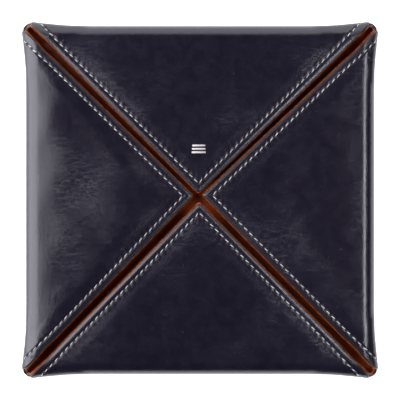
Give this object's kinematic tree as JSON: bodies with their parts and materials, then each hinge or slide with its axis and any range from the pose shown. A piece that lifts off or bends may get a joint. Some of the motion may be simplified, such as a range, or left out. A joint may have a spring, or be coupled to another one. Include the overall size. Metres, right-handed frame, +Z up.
{
  "type": "folding dice tray",
  "caption": "Square two-ply leather dice tray that closes like an envelope: triangular flaps on low side walls fold in over a boarded base and open out flat.",
  "frame": {"origin": "middle of the closed case's underside, on the surface it rests on", "axes": "+Z up, +X through the east flap, +Y through the north flap, which carries the bar tack"},
  "size_m": [0.1644, 0.1644, 0.0162],
  "materials": {
    "outer_leather": "smooth glazed navy-black leather, satin to glossy, faint pull-up creases",
    "lining_leather": "smooth cognac brown lining leather, waxed",
    "thread": "waxed off-white polyester sewing thread",
    "board": "bonded leather fibre board, hidden",
    "magnet": "nickel-plated disc magnet, hidden"
  },
  "bodies": {
    "base": {"base_leather": "outer_leather", "base_board": "board", "base_lining": "lining_leather", "base_magnets": "magnet", "northeast_ear_leather": "outer_leather", "northeast_ear_lining": "lining_leather", "northwest_ear_leather": "outer_leather", "northwest_ear_lining": "lining_leather", "southwest_ear_leather": "outer_leather", "southwest_ear_lining": "lining_leather", "southeast_ear_leather": "outer_leather", "southeast_ear_lining": "lining_leather", "east_lower_fold": "outer_leather", "north_lower_fold": "outer_leather", "west_lower_fold": "outer_leather", "south_lower_fold": "outer_leather"},
    "east_wall": {"east_wall_leather": "outer_leather", "east_wall_lining": "lining_leather", "east_upper_fold": "outer_leather"},
    "east_flap": {"east_flap_leather": "outer_leather", "east_flap_lining": "lining_leather", "east_flap_board": "board", "east_flap_magnet": "magnet", "east_flap_seam": "thread"},
    "north_wall": {"north_wall_leather": "outer_leather", "north_wall_lining": "lining_leather", "north_upper_fold": "outer_leather"},
    "north_flap": {"north_flap_leather": "outer_leather", "north_flap_lining": "lining_leather", "north_flap_board": "board", "north_flap_magnet": "magnet", "north_flap_seam": "thread", "north_flap_tack": "thread"},
    "west_wall": {"west_wall_leather": "outer_leather", "west_wall_lining": "lining_leather", "west_upper_fold": "outer_leather"},
    "west_flap": {"west_flap_leather": "outer_leather", "west_flap_lining": "lining_leather", "west_flap_board": "board", "west_flap_magnet": "magnet", "west_flap_seam": "thread"},
    "south_wall": {"south_wall_leather": "outer_leather", "south_wall_lining": "lining_leather", "south_upper_fold": "outer_leather"},
    "south_flap": {"south_flap_leather": "outer_leather", "south_flap_lining": "lining_leather", "south_flap_board": "board", "south_flap_magnet": "magnet", "south_flap_seam": "thread"}
  },
  "joints": [
    {"name": "east_wall_fold", "type": "hinge", "parent": "base", "child": "east_wall", "pos_m": [0.07782, 0, 0.00218], "axis": [0, 1, 0], "range_deg": [0, 90], "deforming": ["east_lower_fold"]},
    {"name": "east_flap_fold", "type": "hinge", "parent": "east_wall", "child": "east_flap", "pos_m": [0.07782, 0, 0.01382], "axis": [0, 1, 0], "range_deg": [0, 90], "deforming": ["east_upper_fold"]},
    {"name": "north_wall_fold", "type": "hinge", "parent": "base", "child": "north_wall", "pos_m": [0, 0.07782, 0.00218], "axis": [-1, 0, 0], "range_deg": [0, 90], "deforming": ["north_lower_fold"]},
    {"name": "north_flap_fold", "type": "hinge", "parent": "north_wall", "child": "north_flap", "pos_m": [0, 0.07782, 0.01382], "axis": [-1, 0, 0], "range_deg": [0, 90], "deforming": ["north_upper_fold"]},
    {"name": "west_wall_fold", "type": "hinge", "parent": "base", "child": "west_wall", "pos_m": [-0.07782, 0, 0.00218], "axis": [0, -1, 0], "range_deg": [0, 90], "deforming": ["west_lower_fold"]},
    {"name": "west_flap_fold", "type": "hinge", "parent": "west_wall", "child": "west_flap", "pos_m": [-0.07782, 0, 0.01382], "axis": [0, -1, 0], "range_deg": [0, 90], "deforming": ["west_upper_fold"]},
    {"name": "south_wall_fold", "type": "hinge", "parent": "base", "child": "south_wall", "pos_m": [0, -0.07782, 0.00218], "axis": [1, 0, 0], "range_deg": [0, 90], "deforming": ["south_lower_fold"]},
    {"name": "south_flap_fold", "type": "hinge", "parent": "south_wall", "child": "south_flap", "pos_m": [0, -0.07782, 0.01382], "axis": [1, 0, 0], "range_deg": [0, 90], "deforming": ["south_upper_fold"]}
  ]
}
